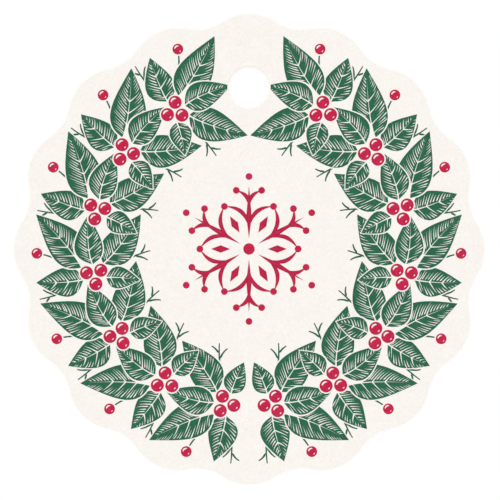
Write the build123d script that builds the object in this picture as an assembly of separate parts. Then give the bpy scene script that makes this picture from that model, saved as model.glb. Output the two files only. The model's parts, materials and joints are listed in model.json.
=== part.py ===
from build123d import *

import os
from collections import namedtuple
from math import cos, pi, sqrt

# A round card gift tag with a wavy die-cut edge, a punched string hole and a two-colour print.
# It lies on its back: back face on Z = 0, printed face up, string hole towards +Y.
# Lengths are in millimetres, angles in degrees.

# Card
tag_width = 70.0            # across two opposite crests of the wavy edge
lobe_count = 16             # crests round the edge, one of them straight above the hole
wave_depth = 1.65           # from crest to valley, along the radius
sheet_thickness = 0.24      # each of the two sheets of cover stock
paste_thickness = 0.02      # dried paste between the two sheets
die_roll = 0.06             # soft bevel that the die leaves round the printed face

# String hole
hole_diameter = 6.35        # a quarter-inch paper drill
hole_margin = 7.775         # card between the hole and the crest above it

# Ink
ink_thickness = 0.02        # film that stands on the card
ink_gap = 0.22              # bare card kept round a berry, or round a leaf that lies over another

# Leaf ring
ring_inset = 11.6           # from the crests in to the line that the sprays grow on
sprays_per_side = 7
first_spray_angle = 8.6     # from the bottom of the tag, up either side
last_spray_angle = 151.8
berry_diameter = 1.95
lone_berry_diameter = 1.6   # the single berry at the end of a twig
twig_width = 0.34

# Leaves of a spray: one along the ring, a large and a small one on either side of it
middle_leaf_length = 7.4
middle_leaf_width = 4.2
outer_leaf_length = 10.4
outer_leaf_width = 5.3
inner_leaf_length = 9.2
inner_leaf_width = 4.9
outer_leaflet_length = 7.0
outer_leaflet_width = 4.4
inner_leaflet_length = 5.0
inner_leaflet_width = 3.3

# Twigs of a spray: one with a berry at its end, and a bare one on either side
berry_twig_length = 4.6
outer_twig_length = 5.5
inner_twig_length = 5.2

# A leaf or twig grows from its root, which is given along and across the ring in shares of a
# berry's diameter. It leans outwards from the ring's direction, and bows by a share of its length.
# The leaves are listed from the one that lies uppermost, and the twigs are under them all.
Leaf = namedtuple("Leaf", "length width lean bow_share root_shares")
Twig = namedtuple("Twig", "length lean bow_share root_shares")
spray_leaves = [
    Leaf(middle_leaf_length, middle_leaf_width, lean=-5, bow_share=-0.05, root_shares=(0.90, 0)),
    Leaf(inner_leaflet_length, inner_leaflet_width, lean=-104, bow_share=-0.03, root_shares=(-0.30, -0.88)),
    Leaf(outer_leaf_length, outer_leaf_width, lean=31, bow_share=0.035, root_shares=(0.80, 0.85)),
    Leaf(outer_leaflet_length, outer_leaflet_width, lean=84, bow_share=-0.03, root_shares=(-0.15, 0.90)),
    Leaf(inner_leaf_length, inner_leaf_width, lean=-47, bow_share=0.035, root_shares=(0.80, -0.85)),
]
berry_twig = Twig(berry_twig_length, lean=60, bow_share=0.05, root_shares=(1.25, 2.00))
outer_twig = Twig(outer_twig_length, lean=100, bow_share=-0.04, root_shares=(-0.58, 1.65))
inner_twig = Twig(inner_twig_length, lean=-77, bow_share=-0.035, root_shares=(0.56, -1.94))

# Printed shapes repeat many times, so their curves have few sides. A leaf's margin is given along
# its length and out from its midrib, in shares of length and width; a stroke's is given along it.
leaf_margin_shares = [(0.06, 0.23), (0.17, 0.43), (0.33, 0.51), (0.54, 0.43), (0.78, 0.23)]
stroke_shares = (0.25, 0.50, 0.75)
dot_sides = 12

# Star in the middle, its places in shares of its reach
star_arms = 6
star_reach = 9.4            # centre of the tag to the tip of an arm
star_core_diameter = 1.7
spine_width = 0.80
petal_width = 1.1
branch_width = 0.62
bead_diameter = 1.0
spine_shares = (0.17, 1.0)
spine_widest_share = 0.42   # of the spine's own length
petal_shares = (0.30, 0.60)
petal_widest_share = 0.5
petal_bead_share = 0.78     # the bead beyond a petal, where the inner branches of two arms meet
outer_bead_share = 1.15
branch_bow_share = 0.22     # of a branch's own length
Branch = namedtuple("Branch", "root_share length_share lean ends_in_bead")
star_branches = [
    Branch(root_share=0.33, length_share=0.52, lean=48.5, ends_in_bead=False),
    Branch(root_share=0.62, length_share=0.37, lean=33, ends_in_bead=True),
]

crest_radius = tag_width / 2
valley_radius = crest_radius - wave_depth
hole_radius = hole_diameter / 2
hole_offset = crest_radius - hole_margin - hole_radius
card_thickness = 2 * sheet_thickness + paste_thickness
ring_radius = crest_radius - ring_inset


def on_ray(radius, angle):
    """Point at this radius on a ray turned by this angle from +X."""
    return Vector(radius, 0).rotate(Axis.Z, angle)


def lobe_radius():
    """Radius of the equal arcs that make crests and valleys, each tangent to the next."""
    swing = cos(pi / lobe_count)
    across = crest_radius**2 + valley_radius**2 - 2 * swing * crest_radius * valley_radius
    linear = (1 + swing) * wave_depth
    square = 2 * (1 - swing)
    return (sqrt(linear**2 + square * across) - linear) / square


def card_outline():
    """Wavy outline of the card, arcs bulging out and in by turns, with the string hole."""
    arc_radius = lobe_radius()
    step = 360 / lobe_count
    arcs = []
    for lobe in range(lobe_count):
        crest_angle = 90 + lobe * step
        centres = [
            on_ray(valley_radius + arc_radius, crest_angle - step / 2),
            on_ray(crest_radius - arc_radius, crest_angle),
            on_ray(valley_radius + arc_radius, crest_angle + step / 2),
            on_ray(crest_radius - arc_radius, crest_angle + step),
        ]
        joins = [(first + second) / 2 for first, second in zip(centres, centres[1:])]
        arcs.append(ThreePointArc(joins[0], on_ray(crest_radius, crest_angle), joins[1]))
        arcs.append(ThreePointArc(joins[1], on_ray(valley_radius, crest_angle + step / 2), joins[2]))
    return make_face(arcs) - Pos(0, hole_offset) * Circle(hole_radius)


def card_layer(bottom, thickness):
    """One layer of the board, cut by the same die as the others."""
    return extrude(Pos(0, 0, bottom) * card_outline(), thickness)


def front_sheet():
    """Upper sheet, its face bevelled where the die and the punch went in."""
    sheet = card_layer(sheet_thickness + paste_thickness, sheet_thickness)
    return chamfer(top_face(sheet).edges(), min(die_roll, sheet_thickness / 2))


def top_face(layer):
    """Highest flat face of a layer."""
    return layer.faces().sort_by(Axis.Z)[-1]


def aside(share, bow):
    """How far a line that bows by this much in its middle stands aside at a share of its length."""
    return 4 * share * (1 - share) * bow


def two_sided(length, bow, half_widths):
    """Shape on +X, pointed at both ends, from its half width at each share of its length."""
    upper = [(share * length, aside(share, bow) + half) for share, half in half_widths]
    lower = [(share * length, aside(share, bow) - half) for share, half in half_widths]
    return make_face(Polyline((0, 0), *lower, (length, 0), *reversed(upper), close=True))


def leaf_shape(leaf, margin):
    """Pointed oval with its root at the origin and its tip along +X, grown by a margin or none."""
    width = leaf.width + 2 * margin
    half_widths = [(along_share, out_share * width) for along_share, out_share in leaf_margin_shares]
    return Pos(-margin, 0) * two_sided(leaf.length + 2 * margin, leaf.bow_share * leaf.length, half_widths)


def stroke(length, bow, width):
    """Curved stroke along +X, pointed at both ends and this wide in the middle."""
    return two_sided(length, bow, [(share, aside(share, width / 2)) for share in stroke_shares])


def dot(diameter):
    """Round spot of ink."""
    return RegularPolygon(diameter / 2, dot_sides)


def lozenge(length, widest_share, width):
    """Long diamond along +X, widest at a share of its length."""
    return two_sided(length, 0, [(widest_share, width / 2)])


def spray_angles():
    """Even places of the sprays, from the bottom of the tag up one side."""
    step = (last_spray_angle - first_spray_angle) / (sprays_per_side - 1)
    return [first_spray_angle + spray * step for spray in range(sprays_per_side)]


def spray_place(angle):
    """Frame of a spray on the tag's right half: X along the ring, upwards, and Y to its centre."""
    return Rot(0, 0, angle) * Pos(0, -ring_radius)


def root_place(stem):
    """Frame at the root of a leaf or twig, turned outwards by its lean."""
    along, across = (share * berry_diameter for share in stem.root_shares)
    return Pos(along, -across) * Rot(0, 0, -stem.lean)


def spray_berries(margin):
    """Three berries round the spray's middle and one on a twig, with a margin of card or none."""
    cluster_radius = (berry_diameter + ink_gap) / sqrt(3)
    shapes = []
    for angle in (60, 180, 300):
        shapes.append(Pos(on_ray(cluster_radius, angle)) * dot(berry_diameter + 2 * margin))
    twig_tip = root_place(berry_twig) * Pos(berry_twig.length, 0)
    shapes.append(twig_tip * dot(lone_berry_diameter + 2 * margin))
    return shapes


def ring_of(shapes):
    """A spray's shapes at every place on the right half of the tag, and mirrored on the left."""
    right = [spray_place(angle) * shape for angle in spray_angles() for shape in shapes]
    left = [mirror(shape, about=Plane.YZ) for shape in right]
    return Sketch() + right + left


def green_print():
    """Leaves from the uppermost down, then the twigs, each cut back round what lies over it."""
    cover = ring_of(spray_berries(ink_gap)) + star()
    greens = Sketch()
    for leaf in spray_leaves:
        greens += ring_of([root_place(leaf) * leaf_shape(leaf, 0)]) - cover
        cover += ring_of([root_place(leaf) * leaf_shape(leaf, ink_gap)])
    twigs = []
    for twig in (berry_twig, outer_twig, inner_twig):
        twigs.append(root_place(twig) * stroke(twig.length, twig.bow_share * twig.length, twig_width))
    return greens + (ring_of(twigs) - cover)


def star_arm():
    """Spine, branches and beads of one arm along +X, with the petal that fills the gap beside it."""
    spine_start_share, spine_end_share = spine_shares
    spine = lozenge((spine_end_share - spine_start_share) * star_reach, spine_widest_share, spine_width)
    petal_start_share, petal_end_share = petal_shares
    petal = lozenge((petal_end_share - petal_start_share) * star_reach, petal_widest_share, petal_width)
    beside = Rot(0, 0, 180 / star_arms)
    shapes = [
        Pos(spine_start_share * star_reach, 0) * spine,
        Pos(outer_bead_share * star_reach, 0) * dot(bead_diameter),
        beside * Pos(petal_start_share * star_reach, 0) * petal,
        beside * Pos(petal_bead_share * star_reach, 0) * dot(bead_diameter),
    ]
    for branch in star_branches:
        length = branch.length_share * star_reach
        for side in (1, -1):
            root = Pos(branch.root_share * star_reach, 0) * Rot(0, 0, side * branch.lean)
            shapes.append(root * stroke(length, -side * branch_bow_share * length, branch_width))
            if branch.ends_in_bead:
                shapes.append(root * Pos(length, 0) * dot(bead_diameter))
    return shapes


def star():
    """Six-armed ornament of lozenges, curved branches and beads."""
    shapes = [dot(star_core_diameter)]
    for arm in range(star_arms):
        shapes += [Rot(0, 0, 90 + arm * 360 / star_arms) * shape for shape in star_arm()]
    return Sketch() + shapes


def ink_film(shapes, printed_face):
    """Ink on the flat of the card's face, trimmed by the die and the punch."""
    return extrude(Pos(0, 0, card_thickness) * shapes & printed_face, ink_thickness)


os.makedirs("parts", exist_ok=True)
face_sheet = front_sheet()
printed_face = Sketch() + top_face(face_sheet)
reds = ring_of(spray_berries(0)) + star()
greens = green_print()
nodes = {
    "back_sheet": card_layer(0, sheet_thickness),
    "paste_layer": card_layer(sheet_thickness, paste_thickness),
    "front_sheet": face_sheet,
    "green_ink": ink_film(greens, printed_face),
    "red_ink": ink_film(reds, printed_face),
}
for name, shape in nodes.items():
    export_step(shape, f"parts/{name}.step")
    print(name, len(shape.solids()), "solids,", round(shape.volume, 3), "mm3")
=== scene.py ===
# %% [markdown]
# A round gift tag, seen from straight above. The real one is card: two sheets of cotton cover stock
# pasted together, printed in green and red, then cut by a wavy steel rule and punched for a string.
# The CAD model already holds the card at its real size, so this script loads it as a fixed frame,
# gives the card its finish, and draws the print again with the fine engraving that CAD leaves out.

# %% Load the CAD model
import json
import random
from collections import namedtuple
from math import cos, pi, radians, sin, sqrt

import bmesh
import bpy
from mathutils import Matrix, Vector


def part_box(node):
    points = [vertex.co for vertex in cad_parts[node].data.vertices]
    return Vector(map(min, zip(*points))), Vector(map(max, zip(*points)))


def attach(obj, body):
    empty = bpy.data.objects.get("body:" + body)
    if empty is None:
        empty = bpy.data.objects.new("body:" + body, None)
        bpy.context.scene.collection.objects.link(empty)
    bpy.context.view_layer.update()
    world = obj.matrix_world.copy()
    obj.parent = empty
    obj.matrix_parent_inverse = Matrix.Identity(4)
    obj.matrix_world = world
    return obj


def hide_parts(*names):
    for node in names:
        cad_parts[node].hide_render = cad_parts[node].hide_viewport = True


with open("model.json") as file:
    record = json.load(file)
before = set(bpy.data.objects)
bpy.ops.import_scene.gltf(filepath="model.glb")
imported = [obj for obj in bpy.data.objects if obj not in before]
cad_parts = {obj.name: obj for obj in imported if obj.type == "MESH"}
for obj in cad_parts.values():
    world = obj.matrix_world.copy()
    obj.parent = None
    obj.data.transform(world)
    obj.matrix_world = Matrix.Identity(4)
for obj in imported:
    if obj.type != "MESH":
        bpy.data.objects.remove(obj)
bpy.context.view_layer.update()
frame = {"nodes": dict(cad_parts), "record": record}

nodes = frame["nodes"]
print("CAD nodes:", sorted(nodes))

# %% [markdown]
# Blender works in metres here, and paper is thought of in millimetres, so one factor turns the one into
# the other. Sizes that the CAD model holds are measured on it and not typed in again: where the card's
# face is, how thick the ink stands on it, and where the string hole was punched.

# %% Measure the card
MM = 0.001  # metres in a millimetre

ink_bottom, ink_top = (corner.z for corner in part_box("green_ink"))
ink_thickness = ink_top - ink_bottom
string_hole = next(mount for mount in frame["record"]["mounts"] if mount["name"] == "string_hole")
hole_centre = Vector(string_hole["pos_m"][:2]) / MM
hole_radius = string_hole["dims"]["r_mm"]
print("card face at", round(ink_bottom / MM, 3), "mm, ink", round(ink_thickness / MM, 3), "mm thick")
print("string hole at", tuple(round(place, 3) for place in hole_centre), "radius", hole_radius, "mm")

# %% [markdown]
# A material is a small tree of nodes. Two helpers keep the trees short to read. Colours are written as the
# sRGB hex values that a paint program shows, and linear() turns them into the light values that shaders
# take. add_node() adds any node, with its settings, its socket values and the links into it.

# %% Colour and node helpers
def linear(hex_colour):
    """Linear RGBA of an sRGB hex colour."""
    channels = [int(hex_colour[start:start + 2], 16) / 255 for start in (1, 3, 5)]
    return [c / 12.92 if c <= 0.04045 else ((c + 0.055) / 1.055) ** 2.4 for c in channels] + [1]


def add_node(tree, kind, settings=None, values=None, links=None):
    """A new shader node, with its settings and socket values, and links from other nodes' outputs."""
    node = tree.nodes.new("ShaderNode" + kind)
    for name, setting in (settings or {}).items():
        setattr(node, name, setting)
    for socket, value in (values or {}).items():
        node.inputs[socket].default_value = value
    for socket, source in (links or {}).items():
        tree.links.new(source, node.inputs[socket])
    return node


def start_material(name):
    """A new material and its node tree, emptied."""
    material = bpy.data.materials.new(name)
    material.use_nodes = True
    material.node_tree.nodes.clear()
    return material, material.node_tree


# A Mix node has a set of sockets for each kind of value, so its colour and number sockets go by place.
MIX_COLOUR = {"data_type": "RGBA"}
FACTOR, FIRST_COLOUR, SECOND_COLOUR, MIXED_COLOUR = 0, 6, 7, 2
FIRST_NUMBER, SECOND_NUMBER, MIXED_NUMBER = 2, 3, 0
print("cream in linear light:", [round(channel, 3) for channel in linear("#FAF6F0")])

# %% [markdown]
# The card is uncoated cotton cover stock. Pulp drains on a wire and is pressed by a felt, so the sheet
# has a soft tooth about a third of a millimetre across, a faint cloudiness where pulp settled thicker, and
# single fibres that stand out. Nothing fills or polishes it, so it scatters light and hardly shines. One
# noise could colour it all, but each of these has its own size, so each has its own noise. A fibre is the
# thin line along which a noise passes through its middle value, and two such webs cross each other. Where
# the die went through, the cut shows the layers of fibre edge on, and is a little darker.

# %% Material: uncoated cotton cover stock
TOOTH_MM = 0.36  # felt mark; a finer one would fall between the picture's pixels
TOOTH_DEPTH_MM = 0.03
CLOUD_MM = 2.2  # where the pulp settled thicker and thinner
CLOUD_SHARE = 0.35  # of the mottle, beside the tooth
FIBRE_MM = 1.1  # spacing of the fibres that stand out
FIBRE_BAND = 0.012  # half a fibre, as a step of its noise: thicker than a real one, so that it shows
FIBRE_STRENGTH = 0.35  # how far a fibre changes the colour
FIBRE_SHARE = 0.25  # of the relief, beside the tooth
NOISE_MIDDLE = 0.5
LAYER_MM = 0.05  # layers of fibre in the cut edge
LAYER_STRETCH = 5  # how much longer than thick they are


def cotton_cover_stock():
    """Matte cream card, mottled and toothed on its faces and layered on its cut edges."""
    material, tree = start_material("uncoated_cotton_cover_stock")
    place = add_node(tree, "TexCoord").outputs["Object"]
    tooth = add_node(tree, "TexNoise", values={"Scale": 1 / (TOOTH_MM * MM), "Detail": 2},
                     links={"Vector": place}).outputs["Fac"]
    clouds = add_node(tree, "TexNoise", values={"Scale": 1 / (CLOUD_MM * MM), "Detail": 3},
                      links={"Vector": place}).outputs["Fac"]
    webs = []
    for layer in (0, 1):
        wander = add_node(tree, "TexNoise", {"noise_dimensions": "4D"},
                          {"Scale": 1 / (FIBRE_MM * MM), "W": layer, "Detail": 0, "Distortion": 1.0},
                          {"Vector": place}).outputs["Fac"]
        webs.append(add_node(tree, "Math", {"operation": "COMPARE"}, {1: NOISE_MIDDLE, 2: FIBRE_BAND},
                             {0: wander}).outputs[0])
    fibres = add_node(tree, "Math", {"operation": "MAXIMUM"}, links={0: webs[0], 1: webs[1]}).outputs[0]
    mottle = add_node(tree, "Mix", values={FACTOR: CLOUD_SHARE},
                      links={FIRST_NUMBER: tooth, SECOND_NUMBER: clouds}).outputs[MIXED_NUMBER]
    contrast = add_node(tree, "MapRange", values={"From Min": 0.25, "From Max": 0.75},
                        links={"Value": mottle}).outputs["Result"]
    pulp = add_node(tree, "Mix", MIX_COLOUR,
                    {FIRST_COLOUR: linear("#F7F1EA"), SECOND_COLOUR: linear("#FFFBF6")},
                    {FACTOR: contrast}).outputs[MIXED_COLOUR]
    faint = add_node(tree, "Math", {"operation": "MULTIPLY"}, {1: FIBRE_STRENGTH}, {0: fibres}).outputs[0]
    face = add_node(tree, "Mix", MIX_COLOUR, {SECOND_COLOUR: linear("#F1E9DD")},
                    {FACTOR: faint, FIRST_COLOUR: pulp}).outputs[MIXED_COLOUR]
    flattened = add_node(tree, "Mapping", values={"Scale": (1 / LAYER_STRETCH, 1 / LAYER_STRETCH, 1)},
                         links={"Vector": place})
    layers = add_node(tree, "TexNoise", values={"Scale": 1 / (LAYER_MM * MM), "Detail": 2},
                      links={"Vector": flattened.outputs["Vector"]}).outputs["Fac"]
    edge = add_node(tree, "Mix", MIX_COLOUR,
                    {FIRST_COLOUR: linear("#E6DDCE"), SECOND_COLOUR: linear("#FBF5EB")},
                    {FACTOR: layers}).outputs[MIXED_COLOUR]
    facing = add_node(tree, "SeparateXYZ", links={0: add_node(tree, "NewGeometry").outputs["Normal"]})
    upright = add_node(tree, "Math", {"operation": "ABSOLUTE"}, links={0: facing.outputs["Z"]})
    on_face = add_node(tree, "MapRange", values={"From Min": 0.2, "From Max": 0.6},
                       links={"Value": upright.outputs[0]}).outputs["Result"]
    colour = add_node(tree, "Mix", MIX_COLOUR, links={FACTOR: on_face, FIRST_COLOUR: edge,
                                                      SECOND_COLOUR: face}).outputs[MIXED_COLOUR]
    relief = add_node(tree, "Mix", values={FACTOR: FIBRE_SHARE},
                      links={FIRST_NUMBER: tooth, SECOND_NUMBER: fibres}).outputs[MIXED_NUMBER]
    bump = add_node(tree, "Bump", values={"Strength": 0.3, "Distance": TOOTH_DEPTH_MM * MM},
                    links={"Height": relief})
    dryness = add_node(tree, "MapRange", values={"To Min": 0.86, "To Max": 0.98}, links={"Value": tooth})
    shader = add_node(tree, "BsdfPrincipled", values={"IOR": 1.5, "Specular IOR Level": 0.2},
                      links={"Base Color": colour, "Roughness": dryness.outputs["Result"],
                             "Normal": bump.outputs["Normal"]})
    add_node(tree, "OutputMaterial", links={"Surface": shader.outputs["BSDF"]})
    return material


card_material = cotton_cover_stock()
print("made", card_material.name)

# %% [markdown]
# Between the sheets is starch paste, brushed on wet and dried under pressure. It is only ever seen as a
# hair line round the cut edge: yellower than the card, with a slight shine, and uneven where the brush
# left more or less of it.

# %% Material: dried starch paste
BRUSH_MM = 0.6  # length of the thick and thin places along the line
BRUSH_DEPTH_MM = 0.01


def dried_paste():
    """Yellowish, faintly glossy starch, in thick and thin places."""
    material, tree = start_material("dried_starch_paste")
    place = add_node(tree, "TexCoord").outputs["Object"]
    spread = add_node(tree, "TexNoise", values={"Scale": 1 / (BRUSH_MM * MM), "Detail": 4},
                      links={"Vector": place}).outputs["Fac"]
    colour = add_node(tree, "Mix", MIX_COLOUR,
                      {FIRST_COLOUR: linear("#C9BB9F"), SECOND_COLOUR: linear("#E6DBC6")},
                      {FACTOR: spread}).outputs[MIXED_COLOUR]
    gloss = add_node(tree, "MapRange", values={"To Min": 0.4, "To Max": 0.7}, links={"Value": spread})
    bump = add_node(tree, "Bump", values={"Strength": 0.3, "Distance": BRUSH_DEPTH_MM * MM},
                    links={"Height": spread})
    shader = add_node(tree, "BsdfPrincipled", values={"IOR": 1.53},
                      links={"Base Color": colour, "Roughness": gloss.outputs["Result"],
                             "Normal": bump.outputs["Normal"]})
    add_node(tree, "OutputMaterial", links={"Surface": shader.outputs["BSDF"]})
    return material


paste_material = dried_paste()
print("made", paste_material.name)

# %% [markdown]
# The two sheets and the paste keep their CAD shape, because a die-cut sheet has no more shape than that.
# Only their material slots change: a CAD node is never moved, and its mesh is never edited.

# %% Dress the card
for node_name, material in (("front_sheet", card_material), ("back_sheet", card_material),
                            ("paste_layer", paste_material)):
    nodes[node_name].material_slots[0].material = material
    print(node_name, "wears", material.name)

# %% [markdown]
# The inks are oil-based and sink into the open card, so they dry nearly as matte as the paper. The press
# leaves more ink at the rim of each printed shape, where it is squeezed out, and less on the high spots of
# the tooth. The meshes carry that rim as a number on each vertex, 1 at the margin and 0 inside, which the
# material reads as an attribute. One function makes both inks, since only their pigment differs.

# %% Material: matte printing ink
RIM = "rim"  # the attribute's name
INK_CLOUD_MM = 1.1  # uneven inking from the rollers
ROLLER_SHARE = 0.4  # of the unevenness, beside the tooth
INK_DEPTH_MM = 0.02  # how far the tooth shows through


def printing_ink(name, body, heavy, thin):
    """Matte ink on toothed card: its body colour, darker where it is heavy and paler where it is thin."""
    material, tree = start_material(name)
    place = add_node(tree, "TexCoord").outputs["Object"]
    tooth = add_node(tree, "TexNoise", values={"Scale": 1 / (TOOTH_MM * MM), "Detail": 2},
                     links={"Vector": place}).outputs["Fac"]
    rolled = add_node(tree, "TexNoise", values={"Scale": 1 / (INK_CLOUD_MM * MM), "Detail": 2},
                      links={"Vector": place}).outputs["Fac"]
    cover = add_node(tree, "Mix", values={FACTOR: ROLLER_SHARE},
                     links={FIRST_NUMBER: tooth, SECOND_NUMBER: rolled}).outputs[MIXED_NUMBER]
    worn = add_node(tree, "MapRange", values={"From Min": 0.45, "From Max": 0.75, "To Max": 0.8},
                    links={"Value": cover}).outputs["Result"]
    film = add_node(tree, "Mix", MIX_COLOUR, {FIRST_COLOUR: linear(body), SECOND_COLOUR: linear(thin)},
                    {FACTOR: worn}).outputs[MIXED_COLOUR]
    rim = add_node(tree, "Attribute", {"attribute_name": RIM}).outputs["Fac"]
    squeezed = add_node(tree, "MapRange", values={"To Max": 0.7}, links={"Value": rim}).outputs["Result"]
    colour = add_node(tree, "Mix", MIX_COLOUR, {SECOND_COLOUR: linear(heavy)},
                      {FACTOR: squeezed, FIRST_COLOUR: film}).outputs[MIXED_COLOUR]
    bump = add_node(tree, "Bump", values={"Strength": 0.25, "Distance": INK_DEPTH_MM * MM},
                    links={"Height": tooth})
    dryness = add_node(tree, "MapRange", values={"To Min": 0.6, "To Max": 0.85}, links={"Value": cover})
    shader = add_node(tree, "BsdfPrincipled", values={"IOR": 1.48, "Specular IOR Level": 0.2},
                      links={"Base Color": colour, "Roughness": dryness.outputs["Result"],
                             "Normal": bump.outputs["Normal"]})
    add_node(tree, "OutputMaterial", links={"Surface": shader.outputs["BSDF"]})
    return material


green_material = printing_ink("matte_green_printing_ink", "#246346", "#1B4A38", "#357359")
red_material = printing_ink("matte_red_printing_ink", "#C41846", "#A01A3B", "#CC385F")
print("made", green_material.name, "and", red_material.name)

# %% [markdown]
# Every printed shape is flat, so each starts as a grid of cells that is laid out on the card. The two
# directions of the grid follow the shape: along a leaf and across it, or round a berry and out from its
# middle. Cells that are left out become the white lines of the engraving. Booleans could cut those lines,
# but cells that follow the shape keep the mesh clean and let every line taper.

# %% Lay out a patch of print
def new_print():
    """An empty print, whose corners can say how near a margin they are."""
    flat = bmesh.new()
    flat.verts.layers.float.new(RIM)
    return flat


def add_patch(flat, columns, rows, to_tag, place, is_cut=None):
    """Adds a grid, leaves out its cut cells, and puts each corner where place() says, in millimetres."""
    rim = flat.verts.layers.float[RIM]
    corners = bmesh.ops.create_grid(flat, x_segments=columns, y_segments=rows, size=0.5)["verts"]
    cells = dict.fromkeys(cell for corner in corners for cell in corner.link_faces)
    gone = []
    for cell in cells:
        middle = cell.calc_center_median()
        if is_cut and is_cut(int((middle.x + 0.5) * columns), int((middle.y + 0.5) * rows)):
            gone.append(cell)
    for corner in corners:
        x, y, nearness = place(round((corner.co.x + 0.5) * columns), round((corner.co.y + 0.5) * rows))
        corner.co = to_tag @ Vector((x, y, 0))
        corner[rim] = nearness
    bmesh.ops.delete(flat, geom=gone, context="FACES")


# %% [markdown]
# Two shapes that meet in a single point, such as the halves of a leaf at its tip, would share one upright
# edge as soon as they had a thickness, and the film would not be a proper solid. So such a corner becomes
# one corner for each shape, drawn back by far less than the eye can see.

# %% Part the shapes that meet in a point
MERGE_MM = 0.001  # corners nearer than this are one corner
DRAW_BACK_MM = 0.005


def part_touching(flat):
    """Gives shapes that meet in a point a corner each, drawn back, and counts such points."""
    margins = {corner: [edge for edge in corner.link_edges if edge.is_boundary] for corner in flat.verts}
    shared = [corner for corner in flat.verts if len(margins[corner]) > 2]
    for corner in shared:
        for own in bmesh.utils.vert_separate(corner, margins[corner]):
            centres = [cell.calc_center_median() for cell in own.link_faces]
            inward = sum(centres, Vector((0, 0, 0))) / len(centres) - own.co
            own.co += DRAW_BACK_MM * inward.normalized()
    return len(shared)


# %% [markdown]
# A finished print is one mesh. Corners that meet are merged. Cells that were cut have many corners, some of
# them in a row, so they are split into triangles of the best shape here. Then the flat shapes are brought
# to metres and set on the card's face, and extruding them gives
# the ink its thickness. A Solidify modifier could do that too, but extruding straight up gives walls that
# are exactly upright and leaves no modifier behind. Mirrored shapes come out with their faces turned, so
# the normals are worked out again once every shape is a closed film.

# %% Turn a print into an ink film
def finish_print(flat, name, material, node_name):
    """Makes a print into an ink film that rides on the card and stands for a CAD node."""
    bmesh.ops.remove_doubles(flat, verts=flat.verts[:], dist=MERGE_MM)
    parted = part_touching(flat)
    bmesh.ops.triangulate(flat, faces=flat.faces[:], quad_method="BEAUTY", ngon_method="BEAUTY")
    bmesh.ops.scale(flat, vec=(MM, MM, MM), verts=flat.verts[:])
    bmesh.ops.translate(flat, vec=(0, 0, ink_bottom), verts=flat.verts[:])
    raised = bmesh.ops.extrude_face_region(flat, geom=flat.faces[:], use_keep_orig=True)["geom"]
    top = [part for part in raised if isinstance(part, bmesh.types.BMVert)]
    bmesh.ops.translate(flat, vec=(0, 0, ink_thickness), verts=top)
    bmesh.ops.recalc_face_normals(flat, faces=flat.faces[:])
    mesh = bpy.data.meshes.new(name)
    flat.to_mesh(mesh)
    flat.free()
    mesh.materials.append(material)
    piece = bpy.data.objects.new(name, mesh)
    bpy.context.scene.collection.objects.link(piece)
    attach(piece, "root")
    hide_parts(node_name)
    mesh.calc_loop_triangles()
    print(name, len(mesh.loop_triangles), "triangles,", parted, "touching corners parted")


# %% [markdown]
# The print is a ring of leaf sprays, seven up each side of the tag, with red berries in the middle of each.
# The CAD model has the same ring as plain shapes, so the sizes and leans here are the CAD model's own.
# A spray's frame has X along the ring, upwards on the right half, and Y towards the tag's middle. The left
# half is the right half mirrored.

# %% Places of the sprays
RING_RADIUS = 23.4
SPRAYS_PER_SIDE = 7
FIRST_SPRAY_ANGLE = 8.6  # from the bottom of the tag
LAST_SPRAY_ANGLE = 151.8
BERRY_DIAMETER = 1.95

MIRROR = Matrix.Scale(-1, 4, (1, 0, 0))
spray_places = []
for spray in range(SPRAYS_PER_SIDE):
    angle = FIRST_SPRAY_ANGLE + (LAST_SPRAY_ANGLE - FIRST_SPRAY_ANGLE) * spray / (SPRAYS_PER_SIDE - 1)
    right = Matrix.Rotation(radians(angle), 4, "Z") @ Matrix.Translation((0, -RING_RADIUS, 0))
    spray_places += [right, MIRROR @ right]


def root_place(stem):
    """Frame at the root of a leaf or twig, turned outwards from the ring by its lean."""
    along, across = (share * BERRY_DIAMETER for share in stem.root_shares)
    return Matrix.Translation((along, -across, 0)) @ Matrix.Rotation(radians(-stem.lean), 4, "Z")


print(len(spray_places), "sprays on a ring", RING_RADIUS, "mm from the middle")

# %% [markdown]
# The shapes overlap as in a drawing: berries lie over the leaves, some leaves over others, and twigs under
# them all. The press can't print one over the other, so what lies lower stops short of what lies over it
# and a thin line of bare card is left between. Here a lower shape is cut by the outline of the upper one,
# grown by that line. The outlines are convex, so the cut goes side by side: each side bisects what may be
# inside and sets free what lies beyond it, and what is left at the end is inside and goes. A boolean
# modifier could do it, but it needs closed solids, and these are flat.

# %% Cut an outline out of a print
def round_outline(middle, radius, sides):
    """Corners of a many-sided circle."""
    turns = [2 * pi * side / sides for side in range(sides)]
    return [middle + radius * Vector((cos(turn), sin(turn), 0)) for turn in turns]


def cut_out(flat, outline):
    """Cuts a convex outline out of flat shapes."""
    middle = sum(outline, Vector((0, 0, 0))) / len(outline)
    reach = max((corner - middle).length for corner in outline)
    sides = []
    for corner, following in zip(outline, outline[1:] + outline[:1]):
        outward = Vector((following.y - corner.y, corner.x - following.x, 0)).normalized()
        sides.append((corner, outward if outward.dot(corner - middle) > 0 else -outward))
    inside = []
    for cell in flat.faces:  # no part of a cell is further from its centre than half its perimeter
        centre, radius = cell.calc_center_median(), cell.calc_perimeter() / 2
        if (centre - middle).length < reach + radius:
            if all((centre - corner).dot(outward) < radius for corner, outward in sides):
                inside.append(cell)
    for corner, outward in sides:
        parts = dict.fromkeys(part for cell in inside for part in (cell, *cell.edges, *cell.verts))
        if parts:
            cut = bmesh.ops.bisect_plane(flat, geom=list(parts), dist=MERGE_MM,
                                         plane_co=corner, plane_no=outward)
            halves = [part for part in cut["geom"] if isinstance(part, bmesh.types.BMFace)]
            inside = [cell for cell in halves if (cell.calc_center_median() - corner).dot(outward) < 0]
    bmesh.ops.delete(flat, geom=inside, context="FACES")


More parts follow.
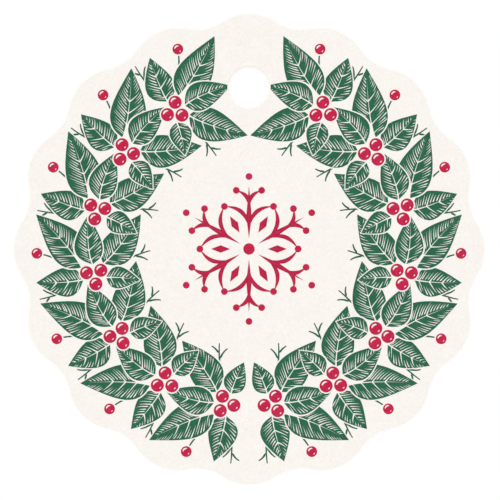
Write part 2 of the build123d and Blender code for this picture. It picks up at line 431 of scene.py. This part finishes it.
# %% [markdown]
# Where two outlines nearly meet, the cuts leave scraps of a leaf between them, which look like stray spots
# of ink. No one would draw them, so islands of a leaf below a smallest area are taken away.

# %% Drop the scraps
SCRAP_MM2 = 0.3


def drop_scraps(flat):
    """Takes away the islands of a print that are no larger than scraps."""
    left = dict.fromkeys(flat.faces)
    scraps = []
    while left:
        island = [left.popitem()[0]]
        for cell in island:
            for neighbour in [face for edge in cell.edges for face in edge.link_faces]:
                if neighbour in left:
                    del left[neighbour]
                    island.append(neighbour)
        if sum(cell.calc_area() for cell in island) < SCRAP_MM2:
            scraps += island
    bmesh.ops.delete(flat, geom=scraps, context="FACES")
    print(len(scraps), "cells dropped as scraps")


# %% [markdown]
# A berry is a disc, drawn as a patch whose columns go round it and whose rows go out from its middle. Two
# of the rows part where the light catches it, which leaves a white gleam at the upper left and a small
# fleck of reflected light opposite. The gleams could be cut out of a plain circle, but rows that part let
# them taper at both ends. The light keeps its place on every berry, so the berries are set down by their
# middles only, and are not turned or mirrored with their sprays.

# %% Draw a berry
BERRY_SIDES = 36
BERRY_ROWS = 4
Gleam = namedtuple("Gleam", "angle half_angle half_depth")
GLEAMS = (Gleam(128, 50, 0.14), Gleam(318, 18, 0.08))
GLEAM_RADIUS = 0.60  # shares of the berry's radius
BERRY_INNER = 0.84


def parting(gleams, column):
    """How far the two rows part at a column of a berry, in shares of its radius."""
    turn = 360 * (column % BERRY_SIDES) / BERRY_SIDES
    for gleam in gleams:
        run = (turn - gleam.angle) / gleam.half_angle
        if abs(run) < 1:
            return gleam.half_depth * sqrt(1 - run**2)
    return 0


def add_berry(flat, diameter, middle, gleams):
    """Adds a round spot of ink, with white gleams in it or none."""

    def place(column, row):
        half_depth = parting(gleams, column)
        share = (0, GLEAM_RADIUS - half_depth, GLEAM_RADIUS + half_depth, BERRY_INNER, 1)[row]
        turn = 2 * pi * column / BERRY_SIDES
        return share * diameter / 2 * cos(turn), share * diameter / 2 * sin(turn), float(share == 1)

    def is_cut(column, row):
        return row == 1 and (parting(gleams, column) > 0 or parting(gleams, column + 1) > 0)

    add_patch(flat, BERRY_SIDES, BERRY_ROWS, Matrix.Translation(middle), place, is_cut)


# %% [markdown]
# Three berries sit close together in the middle of each spray, and a smaller one hangs at the end of a
# twig. Their outlines, grown by the line of bare card, are kept for the leaves and twigs under them.

# %% Print the berries
Twig = namedtuple("Twig", "length lean bow_share root_shares")
BERRY_TWIG = Twig(4.6, lean=60, bow_share=0.05, root_shares=(1.25, 2.00))
LONE_BERRY_DIAMETER = 1.6
INK_GAP = 0.22  # bare card kept round whatever lies over something else
CLUSTER_RADIUS = (BERRY_DIAMETER + INK_GAP) / sqrt(3)
CLUSTER_ANGLES = (60, 180, 300)
OUTLINE_SIDES = 32

berries = []
for spray_place in spray_places:
    for angle in CLUSTER_ANGLES:
        turned = Matrix.Rotation(radians(angle), 4, "Z")
        berries.append((BERRY_DIAMETER, spray_place @ turned @ Vector((CLUSTER_RADIUS, 0, 0))))
    twig_end = root_place(BERRY_TWIG) @ Vector((BERRY_TWIG.length, 0, 0))
    berries.append((LONE_BERRY_DIAMETER, spray_place @ twig_end))

flat = new_print()
lying_over = []
for diameter, middle in berries:
    add_berry(flat, diameter, middle, GLEAMS)
    lying_over.append(round_outline(middle, diameter / 2 + INK_GAP, OUTLINE_SIDES))
finish_print(flat, "berries", red_material, "red_ink")

# %% [markdown]
# A leaf is a pointed oval. Each margin is one cubic curve from root to tip, pulled out by two handles, and
# the midrib runs halfway between the margins, so a place on the leaf needs only two numbers: how far along
# from root to tip, and how far across from midrib to margin. The leaves are listed from the uppermost down.

# %% Shape of a leaf
Leaf = namedtuple("Leaf", "piece length width lean bow_share root_shares")
LEAVES = [
    Leaf("middle_leaves", 7.4, 4.2, lean=-5, bow_share=-0.05, root_shares=(0.90, 0)),
    Leaf("inner_leaflets", 5.0, 3.3, lean=-104, bow_share=-0.03, root_shares=(-0.30, -0.88)),
    Leaf("outer_leaves", 10.4, 5.3, lean=31, bow_share=0.035, root_shares=(0.80, 0.85)),
    Leaf("outer_leaflets", 7.0, 4.4, lean=84, bow_share=-0.03, root_shares=(-0.15, 0.90)),
    Leaf("inner_leaves", 9.2, 4.9, lean=-47, bow_share=0.035, root_shares=(0.80, -0.85)),
]
ROOT_HANDLE = (0.18, 0.86)  # along in shares of length, out in shares of width
TIP_HANDLE = (0.58, 0.44)


def aside(share, bow):
    """How far a line that bows by this much in its middle stands aside at a share of its length."""
    return 4 * share * (1 - share) * bow


def leaf_at(leaf, share):
    """How far along the leaf a share of its curve is, where its midrib is there, and its half width."""
    root_pull = 3 * share * (1 - share) ** 2
    tip_pull = 3 * share**2 * (1 - share)
    along = leaf.length * (root_pull * ROOT_HANDLE[0] + tip_pull * TIP_HANDLE[0] + share**3)
    half_width = leaf.width * (root_pull * ROOT_HANDLE[1] + tip_pull * TIP_HANDLE[1])
    return along, aside(share, leaf.bow_share * leaf.length), half_width


def leaf_outline(leaf, margin, to_tag):
    """Corners round a leaf grown by a margin: out along one side of it and back along the other."""
    grown = leaf._replace(length=leaf.length + 2 * margin, width=leaf.width + 2 * margin)
    half = OUTLINE_SIDES // 2
    corners = []
    for step in range(OUTLINE_SIDES):
        along, midrib, half_width = leaf_at(grown, min(step, OUTLINE_SIDES - step) / half)
        out = half_width if step < half else -half_width
        corners.append(to_tag @ Vector((along - margin, midrib + out, 0)))
    return corners


for leaf in LEAVES:
    half_widths = [leaf_at(leaf, step / OUTLINE_SIDES)[2] for step in range(OUTLINE_SIDES)]
    print(leaf.piece, leaf.length, "mm long and", round(2 * max(half_widths), 2), "mm wide")

# %% [markdown]
# The leaves look engraved: solid colour, with the light cut out of it as white lines. Each half of a leaf
# has side veins that run out from the midrib, and finer hatching between them. On the half that faces the
# light the hatching starts near the midrib, and on the other half it is short and stays near the margin.
# Each line is blunt at one end and sharp at the other, as a graver leaves it. The lines differ a little,
# as drawn by hand, from random numbers with a fixed seed.

# %% Engraved lines of half a leaf
Line = namedtuple("Line", "at width blunt sharp")
LINE_PITCH = 0.44  # along the midrib; the lines slant, so square to them it is less
VEIN_WIDTH = 0.23
HATCH_WIDTH = 0.20
VEIN_EVERY = 4
LINED_FROM, LINED_TO = 0.05, 0.88  # shares of the leaf's curve
VEINS_TO = 0.85  # share of the lined stretch
PITCH_WANDER = 0.15  # shares of the pitch, either way
HATCH_SPREAD = (0.75, 1.15)
VEIN_ENDS = (0.80, 0.90)  # this range and the next four go from 0 at the midrib to 1 at the margin
LIT_BLUNT, LIT_SHARP = (0.10, 0.18), (0.62, 0.90)
SHADED_BLUNT, SHADED_SHARP = (0.84, 0.93), (0.24, 0.48)
LINE_TAPER = 0.7  # under 1, a line keeps its width for longer before it runs out
HAND_SEED = 12
hand = random.Random(HAND_SEED)


def engraved_lines(leaf, is_lit):
    """White lines of one half of a leaf, in order from its root to its tip."""
    count = round(leaf.length * (LINED_TO - LINED_FROM) / LINE_PITCH)
    lines = []
    for index in range(count):
        step = (index + 0.5 + hand.uniform(-PITCH_WANDER, PITCH_WANDER)) / count
        at = LINED_FROM + (LINED_TO - LINED_FROM) * step
        width = HATCH_WIDTH * hand.uniform(*HATCH_SPREAD)
        if index % VEIN_EVERY == 1 and step < VEINS_TO:
            lines.append(Line(at, VEIN_WIDTH, 0, hand.uniform(*VEIN_ENDS)))
        elif is_lit:
            lines.append(Line(at, width, hand.uniform(*LIT_BLUNT), hand.uniform(*LIT_SHARP)))
        else:
            lines.append(Line(at, width, hand.uniform(*SHADED_BLUNT), hand.uniform(*SHADED_SHARP)))
    return lines


def opening(line, across):
    """Half width of a white line at a place across the leaf."""
    run = (across - line.blunt) / (line.sharp - line.blunt)
    return line.width / 2 * (1 - run) ** LINE_TAPER if 0 <= run < 1 else 0


print("lines of an outer leaf:", len(engraved_lines(LEAVES[2], True)))

# %% [markdown]
# Half a leaf is one patch. Its columns are by turns a strip of ink and a white line, and its rows go from
# the midrib out to the margin. The columns slant towards the tip on their way out, as veins do. That
# spreads them apart at the root, so the first strip is a few columns wide, to round the leaf off there.
# The midrib is the white gap that the two halves leave between them, widest at the root.

# %% Draw half a leaf
LEAF_ROWS = 12
ROOT_COLUMNS = 4
VEIN_SLANT = 0.55  # how far the lines run on towards the tip, in shares of the leaf's curve
MIDRIB_WIDTH = 0.24
MIDRIB_END = 0.92  # share of the leaf's curve where the midrib runs out


def add_half_leaf(flat, leaf, side, is_lit, to_tag):
    """Adds the half of a leaf that lies on this side of its midrib."""
    lines = engraved_lines(leaf, is_lit)
    columns = ROOT_COLUMNS + 2 * len(lines)

    def share_of(column, across):
        if column == columns:
            return 1
        if column < ROOT_COLUMNS:
            return (column / ROOT_COLUMNS) ** 2 * share_of(ROOT_COLUMNS, across)
        line = lines[(column - ROOT_COLUMNS) // 2]
        edge = 1 if (column - ROOT_COLUMNS) % 2 else -1
        return line.at + edge * opening(line, across) / leaf.length

    def place(column, row):
        across = row / LEAF_ROWS
        share = share_of(column, across)
        share += VEIN_SLANT * across * sqrt(share) * (1 - share)
        along, midrib, half_width = leaf_at(leaf, share)
        gap = MIDRIB_WIDTH / 2 * max(1 - share / MIDRIB_END, 0)
        out = gap + across * max(half_width - gap, 0)
        return along, midrib + side * out, float(row == LEAF_ROWS)

    def is_cut(column, row):
        index, is_strip = divmod(column - ROOT_COLUMNS, 2)
        if index < 0 or is_strip:
            return False
        return any(opening(lines[index], (row + step) / LEAF_ROWS) > 0 for step in (0, 1))

    add_patch(flat, columns, LEAF_ROWS, to_tag, place, is_cut)


# %% [markdown]
# Light falls on the print from the upper left, so each leaf's lit half is the one whose side turns that
# way. Each kind of leaf is one mesh, cut by the outlines of all that lies over it. At the top of the ring
# the leaves also run into the string hole, which was punched after printing.

# %% Print the leaves
PRINT_LIGHT = Vector((-0.6, 0.8, 0))
DIE_ROLL = 0.06  # bevel round the hole, where the ink broke off
PUNCH_SIDES = 64

punched_hole = round_outline(hole_centre.to_3d(), hole_radius + DIE_ROLL, PUNCH_SIDES)
for leaf in LEAVES:
    flat = new_print()
    outlines = []
    for spray_place in spray_places:
        to_tag = spray_place @ root_place(leaf)
        upper_side = to_tag.to_3x3() @ Vector((0, 1, 0))
        upper_is_lit = upper_side.dot(PRINT_LIGHT) > 0
        add_half_leaf(flat, leaf, 1, upper_is_lit, to_tag)
        add_half_leaf(flat, leaf, -1, not upper_is_lit, to_tag)
        outlines.append(leaf_outline(leaf, INK_GAP, to_tag))
    for outline in [punched_hole] + lying_over:
        cut_out(flat, outline)
    drop_scraps(flat)
    lying_over += outlines
    finish_print(flat, leaf.piece, green_material, "green_ink")

# %% [markdown]
# Twigs and the branches of the star are strokes, as of a pen: long, thin and a little bowed. A stroke is a
# patch only two rows deep, with its width given by a function. A bevelled curve could draw it as well, but
# a patch can be cut and merged as the leaves are.

# %% Draw a stroke
STROKE_STEPS = 12
STROKE_ROWS = 2


def add_stroke(flat, length, bow, half_width_at, to_tag):
    """Adds a bowed stroke along +X, its half width given by a function of the share of its length."""

    def place(column, row):
        share = column / STROKE_STEPS
        out = (row - 1) * half_width_at(share)
        return share * length, aside(share, bow) + out, float(row != 1)

    add_patch(flat, STROKE_STEPS, STROKE_ROWS, to_tag, place)


# %% [markdown]
# Three twigs come out from under the leaves of each spray. One carries the single berry, and the other two
# are bare and fork. A fork is a short stroke whose pointed root touches the side of its twig. The twigs are
# drawn whole, from their roots under the leaves, and then cut by all that lies over them.

# %% Print the twigs
OUTER_TWIG = Twig(5.5, lean=100, bow_share=-0.04, root_shares=(-0.58, 1.65))
INNER_TWIG = Twig(5.2, lean=-77, bow_share=-0.035, root_shares=(0.56, -1.94))
TWIG_WIDTH = 0.34
TWIG_THINNING = 0.55  # share of its width that a twig loses from root to end
Fork = namedtuple("Fork", "root_share side length_share")
FORKS = (Fork(0.55, 1, 0.36), Fork(0.72, -1, 0.28))
FORK_LEAN = 40
FORK_BOW_SHARE = 0.08
FORK_POINT = 0.2  # share of its length over which a fork would widen to a twig's width
FORK_WIDEST, FORK_THINNING = 0.9, 0.4  # shares of a twig's width


def twig_half_width(share):
    """Half width of a twig, which thins from its root to its end."""
    return TWIG_WIDTH / 2 * (1 - TWIG_THINNING * share)


def fork_half_width(share):
    """Half width of a fork, pointed at its root and thinning to its end."""
    return TWIG_WIDTH / 2 * min(share / FORK_POINT, FORK_WIDEST - FORK_THINNING * share)


flat = new_print()
for spray_place in spray_places:
    for twig in (BERRY_TWIG, OUTER_TWIG, INNER_TWIG):
        to_tag = spray_place @ root_place(twig)
        bow = twig.bow_share * twig.length
        add_stroke(flat, twig.length, bow, twig_half_width, to_tag)
        for fork in FORKS if twig is not BERRY_TWIG else ():
            across = aside(fork.root_share, bow) + fork.side * twig_half_width(fork.root_share)
            root = Matrix.Translation((fork.root_share * twig.length, across, 0))
            turned = root @ Matrix.Rotation(radians(fork.side * FORK_LEAN), 4, "Z")
            length = fork.length_share * twig.length
            fork_bow = -fork.side * FORK_BOW_SHARE * length
            add_stroke(flat, length, fork_bow, fork_half_width, to_tag @ turned)
for outline in [punched_hole] + lying_over:
    cut_out(flat, outline)
finish_print(flat, "twigs", green_material, "green_ink")

# %% [markdown]
# In the middle of the ring is a six-armed star of lozenges, curved branches and beads, in the same red.
# One arm is drawn along +X and repeated by turning it. Its shapes join into one film of ink, so each is cut
# by the outlines of those drawn before it, with no line of bare card between. A boolean union would join
# them too, but it needs solids, and the shapes are still flat.

# %% Print the star
STAR_ARMS = 6
STAR_REACH = 9.4
CORE_DIAMETER = 1.7
SPINE_WIDTH = 0.80
SPINE_FROM, SPINE_WIDEST = 0.17, 0.42
PETAL_WIDTH = 1.1
PETAL_FROM, PETAL_TO = 0.30, 0.60
PETAL_WIDEST = 0.5
BRANCH_WIDTH = 0.62
BRANCH_BOW_SHARE = 0.22
BEAD_DIAMETER = 1.0
OUTER_BEAD_SHARE = 1.15
PETAL_BEAD_SHARE = 0.78  # the bead beyond a petal, where the branches of two arms meet
Branch = namedtuple("Branch", "root_share length_share lean ends_in_bead")
BRANCHES = (Branch(0.33, 0.52, 48.5, False), Branch(0.62, 0.37, 33, True))


def lozenge(start, end, widest, width, turned):
    """A long diamond between two shares of the star's reach, and its outline."""
    length = (end - start) * STAR_REACH
    root = turned @ Matrix.Translation((start * STAR_REACH, 0, 0))

    def half_width_at(share):
        return width / 2 * min(share / widest, (1 - share) / (1 - widest))

    shape = new_print()
    add_stroke(shape, length, 0, half_width_at, root)
    corners = ((0, 0), (widest * length, width / 2), (length, 0), (widest * length, -width / 2))
    return shape, [root @ Vector((x, y, 0)) for x, y in corners]


def bead(diameter, middle):
    """A round spot, and its outline."""
    shape = new_print()
    add_berry(shape, diameter, middle, ())
    return shape, round_outline(middle, diameter / 2, BERRY_SIDES)


def crescent(length, side, root):
    """A curved stroke, pointed at both ends. Nothing is drawn after it, so its outline isn't needed."""
    shape = new_print()
    bow = -side * BRANCH_BOW_SHARE * length
    add_stroke(shape, length, bow, lambda share: aside(share, BRANCH_WIDTH / 2), root)
    return shape, None


shapes = [bead(CORE_DIAMETER, Vector((0, 0, 0)))]
crescents = []
for arm in range(STAR_ARMS):
    turned = Matrix.Rotation(radians(90 + 360 * arm / STAR_ARMS), 4, "Z")
    between = turned @ Matrix.Rotation(pi / STAR_ARMS, 4, "Z")
    shapes.append(lozenge(SPINE_FROM, 1, SPINE_WIDEST, SPINE_WIDTH, turned))
    shapes.append(lozenge(PETAL_FROM, PETAL_TO, PETAL_WIDEST, PETAL_WIDTH, between))
    shapes.append(bead(BEAD_DIAMETER, turned @ Vector((OUTER_BEAD_SHARE * STAR_REACH, 0, 0))))
    shapes.append(bead(BEAD_DIAMETER, between @ Vector((PETAL_BEAD_SHARE * STAR_REACH, 0, 0))))
    for branch in BRANCHES:
        length = branch.length_share * STAR_REACH
        start = turned @ Matrix.Translation((branch.root_share * STAR_REACH, 0, 0))
        for side in (1, -1):
            root = start @ Matrix.Rotation(radians(side * branch.lean), 4, "Z")
            crescents.append(crescent(length, side, root))
            if branch.ends_in_bead:
                shapes.append(bead(BEAD_DIAMETER, root @ Vector((length, 0, 0))))

star = new_print()
drawn = []
for shape, outline in shapes + crescents:
    for earlier in drawn:
        cut_out(shape, earlier)
    drawn += [outline] if outline else []
    mesh = bpy.data.meshes.new("shape")
    shape.to_mesh(mesh)
    shape.free()
    star.from_mesh(mesh)
    bpy.data.meshes.remove(mesh)
finish_print(star, "star", red_material, "red_ink")

# %% [markdown]
# The tag lies on a white sweep in soft studio light. The world gives an even light from all round, and one
# wide sun stands for a large softbox at the upper left. Their shares of the light on a level surface add
# up to 1, so that a colour renders about as it is written.

# %% Light the studio
WORLD_LIGHT = 0.94
WHITE = (1, 1, 1, 1)
SUN_TILT = 28  # degrees from straight above
SUN_TURN = 35  # degrees from the top of the tag, towards its left
SUN_WIDTH = 40  # degrees across, as a large softbox is


def seen_rays(tree):
    """1 for what the camera sees, also in a reflection or through something clear, and else 0."""
    rays = add_node(tree, "LightPath").outputs
    seen = rays["Is Camera Ray"]
    for kind in ("Is Glossy Ray", "Is Transmission Ray"):
        seen = add_node(tree, "Math", {"operation": "MAXIMUM"}, links={0: seen, 1: rays[kind]}).outputs[0]
    return seen


world = bpy.data.worlds.new("studio")
bpy.context.scene.world = world
world.use_nodes = True
tree = world.node_tree
tree.nodes.clear()
strength = add_node(tree, "MapRange", values={"To Min": WORLD_LIGHT, "To Max": 1},
                    links={"Value": seen_rays(tree)}).outputs["Result"]
background = add_node(tree, "Background", values={"Color": WHITE}, links={"Strength": strength})
add_node(tree, "OutputWorld", links={"Surface": background.outputs["Background"]})

sun = bpy.data.lights.new("softbox", "SUN")
sun.angle = radians(SUN_WIDTH)
sun.energy = (1 - WORLD_LIGHT) * pi / cos(radians(SUN_TILT))
softbox = bpy.data.objects.new("softbox", sun)
softbox.rotation_euler = (radians(-SUN_TILT), 0, radians(SUN_TURN))
bpy.context.scene.collection.objects.link(softbox)
print("sun", round(sun.energy, 2), "W/m2")

# %% [markdown]
# The floor is a sweep of white paper. Light that bounces off it reaches the card's cut edge, which is then
# nearly as bright as the face. To the camera, and in reflections, the floor is pure white. Part of that
# white is its own glow, as if it were lit from below, which keeps the card's thin shadow as faint as it is
# on a light table.

# %% Lay the floor
FLOOR_SIZE = 4.0  # metres
FLOOR_DROP = 0.01  # millimetres under the card, so that the two never share a plane
FLOOR_GLOW = 0.5  # share of the white that is the floor's own light
FLOOR_WHITE = [1.03, 1.03, 1.03, 1]  # a touch over white, so that grain in the light doesn't grey it

floor_material, tree = start_material("white_paper_sweep")
seen = seen_rays(tree)
colour = add_node(tree, "Mix", MIX_COLOUR,
                  {FIRST_COLOUR: linear("#F8F8F8"), SECOND_COLOUR: FLOOR_WHITE},
                  {FACTOR: seen}).outputs[MIXED_COLOUR]
paper = add_node(tree, "BsdfDiffuse", links={"Color": colour}).outputs["BSDF"]
glow = add_node(tree, "Emission", values={"Color": WHITE, "Strength": 1}).outputs["Emission"]
share = add_node(tree, "Math", {"operation": "MULTIPLY"}, {1: FLOOR_GLOW}, {0: seen}).outputs[0]
shader = add_node(tree, "MixShader", links={0: share, 1: paper, 2: glow})
add_node(tree, "OutputMaterial", links={"Surface": shader.outputs["Shader"]})

sweep = bmesh.new()
bmesh.ops.create_grid(sweep, x_segments=1, y_segments=1, size=FLOOR_SIZE / 2)
bmesh.ops.translate(sweep, vec=(0, 0, -FLOOR_DROP * MM), verts=sweep.verts[:])
floor_mesh = bpy.data.meshes.new("floor")
sweep.to_mesh(floor_mesh)
sweep.free()
floor_mesh.materials.append(floor_material)
floor = bpy.data.objects.new("floor", floor_mesh)
bpy.context.scene.collection.objects.link(floor)
print("floor", FLOOR_SIZE, "m across")

# %% [markdown]
# The photograph looks straight down with hardly any perspective, so the camera has a long lens. Its height
# follows from the width of card that the picture takes in, and it stands a little right of and below the
# tag's middle, because the tag is that much off centre in the picture.

# %% Set up the camera
LENS = 250.0
SENSOR = 36.0
VIEW_WIDTH = 74.58  # millimetres across the picture, at the card's face
VIEW_MIDDLE = (0.152, -0.155)  # millimetres from the tag's middle
CLIP_SHARE = 0.1  # nothing is nearer to the camera than this share of its height

camera_data = bpy.data.cameras.new("camera")
camera_data.lens = LENS
camera_data.sensor_width = SENSOR
camera = bpy.data.objects.new("camera", camera_data)
camera_height = VIEW_WIDTH * LENS / SENSOR
camera.location = (VIEW_MIDDLE[0] * MM, VIEW_MIDDLE[1] * MM, ink_bottom + camera_height * MM)
camera_data.clip_start = CLIP_SHARE * camera_height * MM
bpy.context.scene.collection.objects.link(camera)
bpy.context.scene.camera = camera
bpy.context.scene.view_settings.view_transform = "Standard"
print("camera", round(camera_height, 1), "mm above the card")
